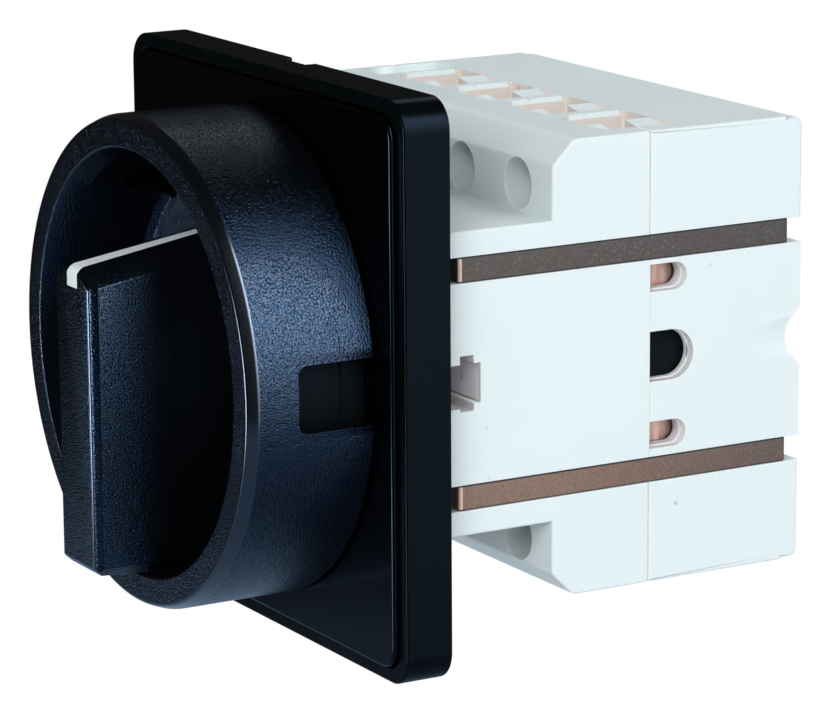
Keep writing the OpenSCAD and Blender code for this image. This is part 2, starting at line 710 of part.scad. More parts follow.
module at_pole(i, upper) {
    mirror([0, 0, upper ? 0 : 1]) translate([pole_x(i - 1), 0, 0]) children();
}
module contact_bar(i, upper) {
    color("#b06a48") at_pole(i, upper) {
        block([-bar_w / 2, bar_w / 2], [bar_y, bar_y + bar_t], [bar_in, shelf_z + clamp_h - 1]);
        // cheeks beside the pad that draw the arc outward
        cheek_x = cell_w / 2 - free;
        block([-cheek_x, cheek_x], [bar_y, bar_y + bar_t], [bar_in, pad_z + 3.8]);
        both_sides() block([cheek_x - cheek_t, cheek_x], [bar_y, bar_y + bar_t + 4], [bar_in, pad_z + 3.8]);
        // silver pad facing the bridge
        translate([0, 0, pad_z]) rod(bar_y + bar_t - eps, bar_y + bar_t + pad_t, pad_r);
    }
}
module box_clamp(i, upper) {
    low = shelf_z - 0.6;
    in_w = bar_w / 2 + seat_gap;
    color("#a9a48f") at_pole(i, upper) difference() {
        block([-clamp_w / 2, clamp_w / 2], [clamp_y, clamp_back], [low, low + clamp_h]);
        block([-in_w, in_w], [clamp_y + 4, bar_y + bar_t + seat_gap], [low - 1, low + clamp_h + 1]);
        translate([0, 0, screw_z]) rod(clamp_y - 1, clamp_y + 5, screw_r + slip);
    }
}
module terminal_screw() {
    head_y = cell_y + 0.6;
    color("#c8cacc") translate([0, 0, screw_z]) difference() {
        union() {
            rod(head_y, head_y + 2.6, 3.5);
            rod(head_y, clamp_y + 4.6, screw_r);
        }
        block([-3.6, 3.6], [head_y - 1, head_y + 1.1], [-0.5, 0.5]);
        block([-0.5, 0.5], [head_y - 1, head_y + 1.1], [-2, 2]);
    }
}
module terminal_screws_top() {
    for (i = [1:pole_count]) at_pole(i, true) terminal_screw();
}
module terminal_screws_bottom() {
    for (i = [1:pole_count]) at_pole(i, false) terminal_screw();
}
module contact_carrier() {
    color("#1d1e20") difference() {
        union() {
            block([-inner_w + free, inner_w - free], [carrier_y, carrier_back], [-carrier_z, carrier_z]);
            // noses that ride on the lifting cam
            both_sides() translate([nose_x, 0, 0]) rod(cam_low + 0.7, carrier_y + eps, 1);
        }
        for (i = [0:pole_count - 1]) translate([pole_x(i), 0, 0])
            block([-4.7, 4.7], [bridge_y - pad_t - 0.9, bridge_slot], [-carrier_z - 1, carrier_z + 1]);
        for (x = return_x) translate([x, 0, 0]) rod(carrier_back - 9, carrier_back + 1, 2.6);
    }
}
module contact_bridge(i) {
    color("#b87350") translate([pole_x(i - 1), 0, 0]) {
        block([-4.4, 4.4], [bridge_y, bridge_y + bridge_t], [-bridge_reach, bridge_reach]);
        both_ways() translate([0, 0, pad_z]) rod(bridge_y - pad_t, bridge_y + eps, pad_r);
    }
}
module contact_spring(i) {
    y0 = bridge_y + bridge_t + slip;
    color("#c3c5c6") translate([pole_x(i - 1), 0, 0]) coil(y0, bridge_slot - slip - y0, 3.6, 4, 0.5);
}
module return_spring(x) {
    y0 = carrier_back - 9 + slip;
    color("#c3c5c6") translate([x, 0, 0]) coil(y0, space_back - slip - y0, 2, 7);
}
module return_spring_right() {
    return_spring(return_x[0]);
}
module return_spring_left() {
    return_spring(return_x[1]);
}

front_plate();
legend_panel();
plate_seal();
locking_collar();
plate_screws();
front_housing();
rear_housing();
mounting_frame();
detent_spring_upper();
detent_spring_lower();
knob();
pointer_insert();
grip_set_screw();
shaft_bush();
drive_shaft();
detent_cam();
spacer_tube();
lifting_cam();
shaft_clip();
contact_carrier();
return_spring_right();
return_spring_left();
terminal_screws_top();
terminal_screws_bottom();
for (i = [1:4]) {
    retaining_clip(i);
    contact_bar(i, true);
    contact_bar(i, false);
    box_clamp(i, true);
    box_clamp(i, false);
    contact_bridge(i);
    contact_spring(i);
}
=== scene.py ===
import bpy
import json
from math import cos, pi, radians, sin, tan
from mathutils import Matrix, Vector


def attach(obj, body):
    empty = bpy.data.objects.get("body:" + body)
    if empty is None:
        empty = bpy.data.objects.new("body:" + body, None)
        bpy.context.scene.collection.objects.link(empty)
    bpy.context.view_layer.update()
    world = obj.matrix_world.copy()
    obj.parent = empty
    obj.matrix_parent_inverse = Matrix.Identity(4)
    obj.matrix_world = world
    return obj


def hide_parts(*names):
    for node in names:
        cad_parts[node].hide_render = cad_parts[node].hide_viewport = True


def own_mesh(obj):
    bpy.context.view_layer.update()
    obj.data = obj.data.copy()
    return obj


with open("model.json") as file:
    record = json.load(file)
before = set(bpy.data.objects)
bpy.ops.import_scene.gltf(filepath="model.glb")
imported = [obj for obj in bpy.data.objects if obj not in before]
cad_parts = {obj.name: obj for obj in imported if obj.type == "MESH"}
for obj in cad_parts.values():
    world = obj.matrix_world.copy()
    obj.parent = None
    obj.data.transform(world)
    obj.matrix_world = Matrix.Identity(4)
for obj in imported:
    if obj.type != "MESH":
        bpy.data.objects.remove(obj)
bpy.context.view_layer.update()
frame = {"nodes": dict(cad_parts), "record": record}
mm = 0.001


class Wire:  # a socket that can be used in sums
    def __init__(self, finish, socket):
        self.finish = finish
        self.socket = socket

    def calc(self, operation, first, second):
        return self.finish.node("ShaderNodeMath", {"operation": operation}, {0: first, 1: second})

    def __add__(self, other):
        return self.calc("ADD", self, other)

    def __radd__(self, other):
        return self.calc("ADD", other, self)

    def __sub__(self, other):
        return self.calc("SUBTRACT", self, other)

    def __rsub__(self, other):
        return self.calc("SUBTRACT", other, self)

    def __mul__(self, other):
        return self.calc("MULTIPLY", self, other)

    def __rmul__(self, other):
        return self.calc("MULTIPLY", other, self)

    def __gt__(self, other):
        return self.calc("GREATER_THAN", self, other)

    def __lt__(self, other):
        return self.calc("LESS_THAN", self, other)

    def __abs__(self):
        return self.calc("ABSOLUTE", self, 0.0)


class Finish:  # one node tree and what is drawn in it
    def __init__(self, owner):
        owner.use_nodes = True
        self.owner = owner
        self.nodes = owner.node_tree.nodes
        self.links = owner.node_tree.links
        self.nodes.clear()
        self.place = self.node("ShaderNodeTexCoord", output="Object")

    def node(self, kind, settings=None, inputs=None, output=0):
        made = self.nodes.new(kind)
        for key, value in (settings or {}).items():
            setattr(made, key, value)
        for key, value in (inputs or {}).items():
            if isinstance(value, Wire):
                self.links.new(value.socket, made.inputs[key])
            else:
                made.inputs[key].default_value = value
        return Wire(self, made.outputs[output]) if made.outputs else None

    def noise(self, scale, detail=3.0, rough=0.5, where=None):
        return self.node("ShaderNodeTexNoise", {}, {
            "Vector": where or self.place, "Scale": scale, "Detail": detail, "Roughness": rough,
        }, "Fac")

    def cells(self, scale):  # 0 at scattered points, growing away from them
        return self.node("ShaderNodeTexVoronoi", {"feature": "F1"}, {
            "Vector": self.place, "Scale": scale}, "Distance")

    def specks(self, scale, size, patchScale, fade):  # small dots, only inside scattered patches
        return (self.cells(scale) < size) * self.band(self.noise(patchScale, 2.0), *fade)

    def stretched(self, scale):
        return self.node("ShaderNodeMapping", {}, {"Vector": self.place, "Scale": scale})

    def band(self, value, low, high):  # 0 below low, 1 above high
        return self.node("ShaderNodeMapRange", {"clamp": True}, {
            "Value": value, "From Min": low, "From Max": high, "To Min": 0.0, "To Max": 1.0})

    def blend(self, factor, first, second):
        first, second = [colour if isinstance(colour, Wire) else (*colour, 1)
                         for colour in (first, second)]
        return self.node("ShaderNodeMix", {"data_type": "RGBA"}, {
            "Factor": factor, "A": first, "B": second}, 2)

    def axes(self, vector=None):
        split = self.node("ShaderNodeSeparateXYZ", {}, {0: vector or self.place})
        return [Wire(self, part) for part in split.socket.node.outputs]

    def bump(self, height, strength, distance):
        return self.node("ShaderNodeBump", {}, {
            "Height": height, "Strength": strength, "Distance": distance})

    def ray(self, kind):
        return self.node("ShaderNodeLightPath", output="Is %s Ray" % kind)

    def plastic(self, **sockets):
        named = {key.replace("_", " "): value for key, value in sockets.items()}
        self.finishWith(self.node("ShaderNodeBsdfPrincipled", {}, named))

    def finishWith(self, shader, kind="ShaderNodeOutputMaterial"):
        self.node(kind, {}, {"Surface": shader})


def newFinish(name):
    return Finish(bpy.data.materials.new(name))


shot = {
    "place": (0.54398, -0.29476, 0.13782), "turn": (77.1997, 0.3803, 59.9236),  # metres, degrees
    "lens": 176.58, "sensor": 36, "nearest": 0.01,
}


def setUpCamera():
    turn = [radians(angle) for angle in shot["turn"]]
    bpy.ops.object.camera_add(location=shot["place"], rotation=turn)
    camera = bpy.context.object
    camera.data.lens = shot["lens"]
    camera.data.sensor_width = shot["sensor"]
    camera.data.clip_start = shot["nearest"]
    bpy.context.scene.camera = camera
    bpy.context.scene.view_settings.view_transform = "Standard"


lamps = {
    "colour": (0.93, 0.975, 1.0), "aim": (0, 0.02, 0),
    "each": {  # place, width, height, power
        "sideLamp": ((0.968, 0.411, 0.322), 1.07, 0.59, 2.9),
        "topLamp": ((-0.52, 0.53, 0.88), 0.5, 0.5, 2.65),
        "frontLamp": ((0.8, -0.78, 0.58), 0.6, 0.6, 9.2),
    },
}


def setUpLamps():
    for name, (place, width, height, power) in lamps["each"].items():
        bpy.ops.object.light_add(type="AREA", location=place)
        lamp = bpy.context.object
        lamp.name = name
        lamp.data.shape = "RECTANGLE"
        lamp.data.size = width
        lamp.data.size_y = height
        lamp.data.energy = power
        lamp.data.color = lamps["colour"]
        lamp.visible_glossy = False
        toObject = Vector(lamps["aim"]) - lamp.location
        lamp.rotation_euler = toObject.to_track_quat("-Z", "Y").to_euler()


paleFloor = {
    "height": -0.26, "radius": 0.75, "edges": 96,
    "shades": ((0.84, 0.86, 0.9), (0.88, 0.9, 0.94)), "cloudScale": 6.0,
    "mirrored": (0.15, 0.28, 0.45), "mirroredShare": 0.9,  # what shiny surfaces see of it
    "glow": 1.05, "glowShare": 0.9, "mirroredGlow": 0.05,  # what the camera sees of it
}


def setUpFloor():
    look = paleFloor
    bpy.ops.mesh.primitive_circle_add(vertices=look["edges"], radius=look["radius"],
                                      fill_type="NGON", location=(0, 0, look["height"]))
    floor = bpy.context.object
    floor.name = "floor"
    f = newFinish("paleFloor")
    pale = f.blend(f.noise(look["cloudScale"]), *look["shades"])
    pale = f.blend(f.ray("Glossy") * look["mirroredShare"], pale, look["mirrored"])
    paint = f.node("ShaderNodeBsdfDiffuse", {}, {"Color": pale})
    glow = f.node("ShaderNodeEmission", {}, {"Color": (1, 1, 1, 1), "Strength": look["glow"]})
    seen = f.ray("Camera") + f.ray("Transmission") + f.ray("Glossy") * look["mirroredGlow"]
    f.finishWith(f.node("ShaderNodeMixShader", {}, {
        0: seen * look["glowShare"], 1: paint, 2: glow}))
    floor.data.materials.append(f.owner)


# soft light from all round, and what shiny surfaces mirror: a wall at the right, brighter towards
# its front, and two round patches; each pair says where a change over the sky starts and ends
studio = {
    "dome": 0.5, "domeColour": (0.9, 0.96, 1, 1),
    "wall": 9.2, "wallRight": (0.48, 0.58), "wallFront": (-0.15, 0.1), "wallRise": (-0.75, 0.4),
    "wallBrightest": 1.6, "wallDrop": (0.1, 0.6),
    "patches": [  # direction, pair, strength: high at the back, low at the front
        ((-0.59, 0.45, 0.67), (0.98, 0.988), 0.9),
        ((-0.304, -0.937, -0.174), (0.973, 0.987), 20.0),
    ],
    "darkest": 0.02,
}


def setUpWorld():
    bpy.context.scene.world = bpy.data.worlds.new("studio")
    f = Finish(bpy.context.scene.world)
    x, y, z = f.axes(f.node("ShaderNodeTexCoord", output="Generated"))
    rise = f.band(z, *studio["wallRise"])
    wall = f.band(x, *studio["wallRight"]) * f.band(y, *studio["wallFront"])
    wall = wall * (studio["wallBrightest"] - f.band(y, *studio["wallDrop"])) * rise * rise
    mirrored = wall * studio["wall"] + studio["darkest"]
    for (right, back, up), fade, strength in studio["patches"]:
        mirrored = mirrored + f.band(x * right + y * back + z * up, *fade) * strength
    glossy = f.ray("Glossy")
    dome = f.node("ShaderNodeBackground", {}, {
        "Color": studio["domeColour"],
        "Strength": studio["dome"] * (1 - glossy) + mirrored * glossy})
    sky = f.node("ShaderNodeBackground", {}, {"Color": (1, 1, 1, 1), "Strength": 1.0})
    seen = f.ray("Camera") + f.ray("Transmission")
    f.finishWith(f.node("ShaderNodeMixShader", {}, {0: seen, 1: dome, 2: sky}),
                 "ShaderNodeOutputWorld")


setUpCamera()
setUpLamps()
setUpFloor()
setUpWorld()
print("camera, lamps, floor and world stand")


# the finishes; their places are in metres, as Object coordinates are
housingPlastic = {
    "shades": ((0.715, 0.77, 0.762), (0.75, 0.797, 0.79)), "cloudScale": 28.0,
    "paintedWarmLight": (0.82, 0.69, 0.61), "paintedWarmLightShare": 0.85,  # painted warm light, as light through the plastic gives it, on the walls inside the wire windows
    "windowHeight": 0.0195, "windowFront": 0.0254, "windowBack": 0.0448,
    "windowLeft": -0.0296, "windowWidth": 0.0388, "uprightBelow": 0.5,
    "paintedOpeningShade": (0.72, 0.6, 0.6), "paintedOpeningShadeShare": 0.5,       # painted pinkish shade on the walls of the side openings
    "openingHeight": 0.0155, "openingBack": 0.0468, "openingWidth": (0.03, 0.03895),
    "speck": (0.22, 0.23, 0.27), "speckShare": 0.5, "specks": (300.0, 0.1, 70.0, (0.6, 0.64)),
    "rough": 0.4, "roughSpread": 0.14, "shine": 0.3,
    "rippleScale": 900.0, "ripple": (0.12, 0.0001),
}


def mixHousingPlastic():
    look = housingPlastic
    f = newFinish("housingPlastic")
    x, y, z = f.axes()
    width, height = abs(x), abs(z)
    facing = f.axes(f.node("ShaderNodeNewGeometry", output="Normal"))
    upright = abs(facing[2]) < look["uprightBelow"]
    cloud = f.noise(look["cloudScale"], 4.0)
    base = f.blend(cloud, *look["shades"])
    # painted warm light on the upright walls inside the wire windows
    windows = (height > look["windowHeight"]) * (y > look["windowFront"]) * (y < look["windowBack"])
    windows = windows * (x > look["windowLeft"]) * (width < look["windowWidth"])
    base = f.blend(windows * upright * look["paintedWarmLightShare"], base, look["paintedWarmLight"])
    # painted pinkish shade inside the side openings
    inner, outer = look["openingWidth"]
    openings = (height < look["openingHeight"]) * (y < look["openingBack"])
    openings = openings * (width > inner) * (width < outer)
    base = f.blend(openings * look["paintedOpeningShadeShare"], base, look["paintedOpeningShade"])
    base = f.blend(f.specks(*look["specks"]) * look["speckShare"], base, look["speck"])
    f.plastic(Base_Color=base, Roughness=look["rough"] + cloud * look["roughSpread"],
              Specular_IOR_Level=look["shine"],
              Normal=f.bump(f.noise(look["rippleScale"], 2.0), *look["ripple"]))
    return f.owner


glossBlack = {
    "cloudScale": 20.0, "lighter": 1.4, "roughSpread": 0.06,
    "tint": (0.37, 0.6, 1.0, 1),  # the black plastics shine bluish
    "dust": (0.12, 0.13, 0.15), "dustShare": 0.2, "specks": (420.0, 0.06, 45.0, (0.6, 0.66)),
    "rippleScale": 260.0, "ripple": (0.04, 0.0001),
}


def mixGlossBlack(name, tone, rough, shine):
    look = glossBlack
    f = newFinish(name)
    cloud = f.noise(look["cloudScale"], 4.0)
    base = f.blend(cloud, tone, [part * look["lighter"] for part in tone])
    base = f.blend(f.specks(*look["specks"]) * look["dustShare"], base, look["dust"])
    f.plastic(Base_Color=base, Roughness=rough + cloud * look["roughSpread"],
              Specular_IOR_Level=shine, Specular_Tint=look["tint"],
              Normal=f.bump(f.noise(look["rippleScale"], 3.0), *look["ripple"]))
    return f.owner


# fine spark grain of a moulded knob: small domes, none along the front edges of drum and grip
grainedBlack = {
    "shades": ((0.0012, 0.0016, 0.0022), (0.002, 0.0026, 0.0036)), "cloudScale": 24.0,
    "rough": 0.17, "roughSpread": 0.04, "shine": 0.42, "tint": (0.26, 0.52, 1.0, 1),
    "domeScale": 3300.0, "fineScale": 6600.0, "fineShare": 0.2, "grain": (1.0, 0.00007),
    "crest": (0.5, 0.25), "crestCoat": 0.6, "coatRough": 0.2,
    "gripEdge": 0.0053, "gripEdgeFade": (0.0004, 0.0002), "gripEdgeFront": -0.0394,
    "rimRadiusSquared": 0.00135, "rimFront": -0.0286,
}


def mixGrainedBlack():
    look = grainedBlack
    f = newFinish("knobGrained")
    x, y, z = f.axes()
    gripEdge = f.band(abs(abs(x) - look["gripEdge"]), *look["gripEdgeFade"])
    rim = (x * x + z * z > look["rimRadiusSquared"]) * (y < look["rimFront"])
    smoothEdge = rim + gripEdge * (y < look["gripEdgeFront"])
    cell = f.cells(look["domeScale"])
    grain = (1 - cell * cell) + f.noise(look["fineScale"], 1.0) * look["fineShare"]
    crests = f.band(cell, *look["crest"]) * look["crestCoat"] * (1 - smoothEdge) + smoothEdge
    cloud = f.noise(look["cloudScale"], 3.0)
    f.plastic(Base_Color=f.blend(cloud, *look["shades"]),
              Roughness=look["rough"] + cloud * look["roughSpread"],
              Specular_IOR_Level=look["shine"], Specular_Tint=look["tint"],
              Coat_Weight=crests, Coat_Roughness=look["coatRough"],
              Normal=f.bump(grain * (1 - smoothEdge), *look["grain"]))
    return f.owner


# browned sheet with a fine grain, darker to the back; painted shade darkens the upper clips,
# painted groove shadow blackens the long edges and a painted highlight lies on the front bend
bronzeClip = {
    # painted shade: the upper clips darker, the lower ones lit
    "upper": ((0.04, 0.031, 0.027), (0.056, 0.044, 0.038)),
    "lower": ((0.16, 0.094, 0.068), (0.2, 0.118, 0.086)),
    "patchScale": 190.0, "grainScale": 2600.0, "grain": (0.35, 0.00006),
    "back": (0.03, 0.024, 0.022), "backShare": 0.65, "backFade": (0.02, 0.06),
    "light": (0.3, 0.22, 0.18), "lightShare": 0.5, "lightGrain": (0.56, 0.8),
    "dark": (0.04, 0.03, 0.026), "darkShare": 0.45, "darkGrain": (0.46, 0.3),
    # painted highlight along the front bend
    "bend": (0.9, 0.62, 0.5), "bendFrom": (0.0042, 0.0043), "bendTo": (0.0048, 0.0046),
    # painted shadow of the grooves along the long edges
    "gapShadow": (0.006, 0.004, 0.004), "clipMiddle": 0.01735, "gapShadowFade": (0.00165, 0.00178),
    "rough": 0.42, "roughSpread": 0.2, "metallic": 0.25,
}


def mixBronze():
    look = bronzeClip
    f = newFinish("bronzeClip")
    x, y, z = f.axes()
    grain = f.noise(look["grainScale"], 3.0, 0.6)
    patches = f.noise(look["patchScale"], 4.0)
    # painted shade: the upper clips darker than the lit lower ones
    base = f.blend(z < 0.0, f.blend(patches, *look["upper"]), f.blend(patches, *look["lower"]))
    # painted highlight along the front bend
    bend = f.band(y, *look["bendFrom"]) * f.band(y, *look["bendTo"])
    # painted shadow of the grooves along the clips' long edges
    gapShadowMask = f.band(abs(abs(z) - look["clipMiddle"]), *look["gapShadowFade"])
    for share, colour in (
        (f.band(y, *look["backFade"]) * look["backShare"], look["back"]),
        (f.band(grain, *look["lightGrain"]) * look["lightShare"], look["light"]),
        (f.band(grain, *look["darkGrain"]) * look["darkShare"], look["dark"]),
        (bend, look["bend"]),
        (gapShadowMask, look["gapShadow"]),
    ):
        base = f.blend(share, base, colour)
    f.plastic(Base_Color=base, Roughness=look["rough"] + patches * look["roughSpread"],
              Metallic=look["metallic"], Normal=f.bump(grain, *look["grain"]))
    return f.owner


drawnMetal = {
    "patchScale": 180.0, "patchShare": 0.3, "lineScale": (900.0, 900.0, 90.0), "lineShare": 0.7,
    "contrast": (0.36, 0.64), "roughSpread": 0.16, "lines": (0.2, 0.00005),
}


def mixMetal(name, dark, light, rough):
    look = drawnMetal
    f = newFinish(name)
    patches = f.noise(look["patchScale"], 4.0)
    lines = f.noise(1.0, 3.0, 0.6, f.stretched(look["lineScale"]))
    tone = f.band(lines * look["lineShare"] + patches * look["patchShare"], *look["contrast"])
    f.plastic(Base_Color=f.blend(tone, dark, light), Roughness=rough + lines * look["roughSpread"],
              Metallic=1.0, Normal=f.bump(lines, *look["lines"]))
    return f.owner


smoothMatter = {
    "cloudScale": 60.0, "roughSpread": 0.12, "rippleScale": 700.0, "ripple": (0.1, 0.0001),
}


def mixSmooth(name, dark, light, rough):
    look = smoothMatter
    f = newFinish(name)
    cloud = f.noise(look["cloudScale"], 4.0)
    f.plastic(Base_Color=f.blend(cloud, dark, light), Roughness=rough + cloud * look["roughSpread"],
              Normal=f.bump(f.noise(look["rippleScale"], 2.0), *look["ripple"]))
    return f.owner


finishes = {
    "plate_black": mixGlossBlack("plateBlack", (0.0012, 0.0018, 0.002), 0.2, 0.08),
    "panel_black": mixGlossBlack("panelBlack", (0.0004, 0.0005, 0.0006), 0.14, 0.2),
    "gasket": mixSmooth("gasketRubber", (0.02, 0.02, 0.021), (0.035, 0.035, 0.037), 0.7),
    "collar_grey": mixGlossBlack("collarGrey", (0.0028, 0.0038, 0.004), 0.5, 0.06),
    "knob_black": mixGrainedBlack(),
    "pointer_white": mixSmooth("pointerWhite", (0.76, 0.81, 0.78), (0.82, 0.86, 0.84), 0.35),
    "housing_white": mixHousingPlastic(),
    "clip_bronze": mixBronze(),
    "contact_copper": mixMetal("contactCopper", (0.18, 0.1, 0.08), (0.44, 0.29, 0.24), 0.36),
    "terminal_steel": mixMetal("platedSteel", (0.5, 0.48, 0.42), (0.68, 0.67, 0.62), 0.32),
    # pale pinkish grey, partly the steel's own colour, partly painted light where it lies in the
    # shaded side pocket
    "grey_steel": mixSmooth("frameSteel", (0.84, 0.79, 0.81), (0.9, 0.85, 0.87), 0.4),
    "spring_steel": mixMetal("springSteel", (0.5, 0.5, 0.51), (0.66, 0.67, 0.68), 0.25),
    "carrier_black": mixGlossBlack("carrierBlack", (0.0022, 0.0032, 0.0024), 0.55, 0.07),
    "natural_plastic": mixSmooth("naturalPlastic", (0.62, 0.6, 0.52), (0.72, 0.7, 0.62), 0.4),
}
print("finishes mixed:", len(finishes))

slotOf = {part["node"]: part["material_slot"] for part in frame["record"]["subparts"]}
for node, solid in frame["nodes"].items():
    solid.data.materials.clear()
    solid.data.materials.append(finishes[slotOf[node]])


def pick(thing):
    if bpy.context.object and bpy.context.object.mode != "OBJECT":
        bpy.ops.object.mode_set(mode="OBJECT")
    bpy.ops.object.select_all(action="DESELECT")
    thing.select_set(True)
    bpy.context.view_layer.objects.active = thing


def freeze(thing):
    pick(thing)
    bpy.ops.object.transform_apply(location=True, rotation=True, scale=True)


def modify(thing, kind, **settings):
    pick(thing)
    modifier = thing.modifiers.new(kind.lower(), kind)
    for key, value in settings.items():
        setattr(modifier, key, value)
    bpy.ops.object.modifier_apply(modifier=modifier.name)


def carve(thing, tool, operation="DIFFERENCE"):
    modify(thing, "BOOLEAN", operation=operation, solver="EXACT", object=tool)
    bpy.data.objects.remove(tool)


def middleOf(mesh, edge):  # in millimetres
    return sum((mesh.vertices[i].co / mm for i in edge.vertices), Vector()) / 2


def selectEdges(thing, test):  # by their middles; leaves the thing in edit mode
    bpy.ops.object.mode_set(mode="EDIT")
    bpy.ops.mesh.select_mode(type="EDGE")
    bpy.ops.mesh.select_all(action="DESELECT")
    bpy.ops.object.mode_set(mode="OBJECT")
    for edge in thing.data.edges:
        edge.select = test(middleOf(thing.data, edge))
    bpy.ops.object.mode_set(mode="EDIT")


def box(name, low, high):  # corners in millimetres
    bpy.ops.object.select_all(action="DESELECT")
    middle = [(a + b) / 2 * mm for a, b in zip(low, high)]
    bpy.ops.mesh.primitive_cube_add(size=1, location=middle)
    made = bpy.context.object
    made.name = name
    made.scale = [(b - a) * mm for a, b in zip(low, high)]
    freeze(made)
    return made


def turnedForm(name, rings, edges):
    # a disc across the knob's axis, extruded and resized from ring to ring: (radius, distance in
    # front of the panel), in millimetres
    radius, front = rings[0]
    bpy.ops.object.select_all(action="DESELECT")
    bpy.ops.mesh.primitive_circle_add(vertices=edges, radius=radius * mm, fill_type="NGON",
                                      location=(0, -front * mm, 0), rotation=(pi / 2, 0, 0))
    made = bpy.context.object
    made.name = name
    freeze(made)
    bpy.ops.object.mode_set(mode="EDIT")
    bpy.ops.mesh.select_all(action="SELECT")
    for nextRadius, nextFront in rings[1:]:
        forward = {"value": (0, (front - nextFront) * mm, 0)}
        bpy.ops.mesh.extrude_region_move(TRANSFORM_OT_translate=forward)
        grow = nextRadius / radius
        bpy.ops.transform.resize(value=(grow, 1, grow), center_override=(0, 0, 0))
        radius, front = nextRadius, nextFront
    bpy.ops.mesh.select_all(action="SELECT")
    bpy.ops.mesh.normals_make_consistent(inside=False)
    bpy.ops.object.mode_set(mode="OBJECT")
    return made


def sliced(thing, *cuts):  # cuts off what lies beyond each plane: point in millimetres, direction
    pick(thing)
    bpy.ops.object.mode_set(mode="EDIT")
    for point, direction in cuts:
        bpy.ops.mesh.select_all(action="SELECT")
        bpy.ops.mesh.bisect(plane_co=[part * mm for part in point], plane_no=direction,
                            use_fill=True, clear_outer=True)
    bpy.ops.object.mode_set(mode="OBJECT")


def soften(thing, width, segments, angle=30, share=None):
    # rounds the edges sharper than the angle; share gives an edge's part of the width from its
    # middle, and an edge with none stays sharp
    pick(thing)
    bpy.ops.object.shade_smooth()
    mesh = thing.data
    beside = {}
    for face in mesh.polygons:
        for key in face.edge_keys:
            beside.setdefault(key, []).append(face.normal)
    old = mesh.attributes.get("bevel_weight_edge")  # from an earlier softening
    if old:
        mesh.attributes.remove(old)
    weights = mesh.attributes.new("bevel_weight_edge", "FLOAT", "EDGE").data
    for edge, weight in zip(mesh.edges, weights):
        normals = beside[edge.key]
        if len(normals) == 2 and normals[0].angle(normals[1]) > radians(angle):
            weight.value = share(middleOf(mesh, edge)) if share else 1.0
            edge.use_edge_sharp = weight.value == 0
    modify(thing, "BEVEL", width=width * mm, segments=segments, limit_method="WEIGHT",
           use_clamp_overlap=False)
    modify(thing, "WEIGHTED_NORMAL", mode="FACE_AREA", weight=50, keep_sharp=True)


def mergedCopy(node, name, flat=0):
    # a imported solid's mesh with its loose triangles joined; those that meet flatter than the angle
    # become one face
    made = bpy.data.objects.new(name, frame["nodes"][node].data.copy())
    bpy.context.collection.objects.link(made)
    pick(made)
    bpy.ops.object.mode_set(mode="EDIT")
    bpy.ops.mesh.select_all(action="SELECT")
    bpy.ops.mesh.remove_doubles(threshold=2e-6)  # metres
    if flat:
        bpy.ops.mesh.dissolve_limited(angle_limit=radians(flat))
    bpy.ops.mesh.normals_make_consistent(inside=False)
    bpy.ops.object.mode_set(mode="OBJECT")
    return made


def bodyOf(node):
    bodies = frame["record"]["behaviour"]["bodies"]
    return next(body for body, nodes in bodies.items() if node in nodes)


def standFor(made, node):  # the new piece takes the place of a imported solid
    made.data.materials.clear()
    made.data.materials.append(finishes[slotOf[node]])
    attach(made, bodyOf(node))
    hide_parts(node)
    print(made.name, "has", len(made.data.polygons), "faces")


# all of the knob, grip and pointer line is in millimetres and degrees, distances in front of the
# panel are positive, and edges are (radius, segments, least angle)
knob = {
    # (radius, distance in front), from the back over the rim into the hollow
    "rings": [(31.6, 12), (31.6, 21.4), (34.4, 28.5), (36.1, 28.5), (36.1, 9.3), (38, 9.3),
              (38, 28.7), (37.3, 30.5), (33, 30.5), (31.5, 27), (30.456, 21.4), (29.3, 15.2),
              (28.3, 14)],
    "facets": 192, "edges": (0.32, 3, 14), "smoothAngle": 28,
    "windowAngles": (1, 121, 241), "windowHalf": 5.1, "windowFront": 22.2,
    "windowCorner": (1.6, 4),
    "windowWalls": [(35.2, 39, 7.3), (27.3, 31.9, 14)],  # inner, outer radius and back
    "socketHalf": 3.55, "socketBack": 11.99, "socketFront": 26,
    "pinRadius": 2, "pinLength": 13, "pinFront": 19, "pinFacets": 48,
}
grip = {
    "half": 6.5, "front": 40.2, "root": 13, "top": 16, "bottom": -31,
    "blank": (-36, 21),                    # the bar before it is cut to its ends
    "draft": 5, "toe": (1.2, 1.5),         # lower end: its slant, and the cut at its front
    "bevel": 1.2, "heel": (1.3, 3),        # along the sides, and at the lower corners
    "topSlope": 9, "gable": 30, "ridge": 2.1, "elbow": 1.6, "elbowSteps": (20, 32, 44, 56, 68, 80),
    "edges": (0.14, 2, 22),
    "limit": [(30.9, 12.5), (31.1, 21.4), (33, 28), (33, 41.2)], "limitFacets": 96,
}
pointer = {
    "half": 1.8, "depth": 1.2, "drop": 3.1, "taper": 0.0243, "edges": (0.12, 2, 30),
    "blankHalf": 2, "blankBottom": 8, "blankTop": 30, "blankBack": 15.5, "spare": 2,
}


def windowTool(inner, outer, back, angle):
    half, front = knob["windowHalf"], knob["windowFront"]
    corner, segments = knob["windowCorner"]
    tool = box("windowTool", (inner, -front, -half), (outer, -back, half))
    near = 0.01
    selectEdges(tool, lambda at: at.y < -front + near and abs(abs(at.z) - half) < near)
    bpy.ops.mesh.bevel(offset=corner * mm, segments=segments)
    bpy.ops.object.mode_set(mode="OBJECT")
    tool.rotation_euler = (0, -radians(angle), 0)
    freeze(tool)
    return tool


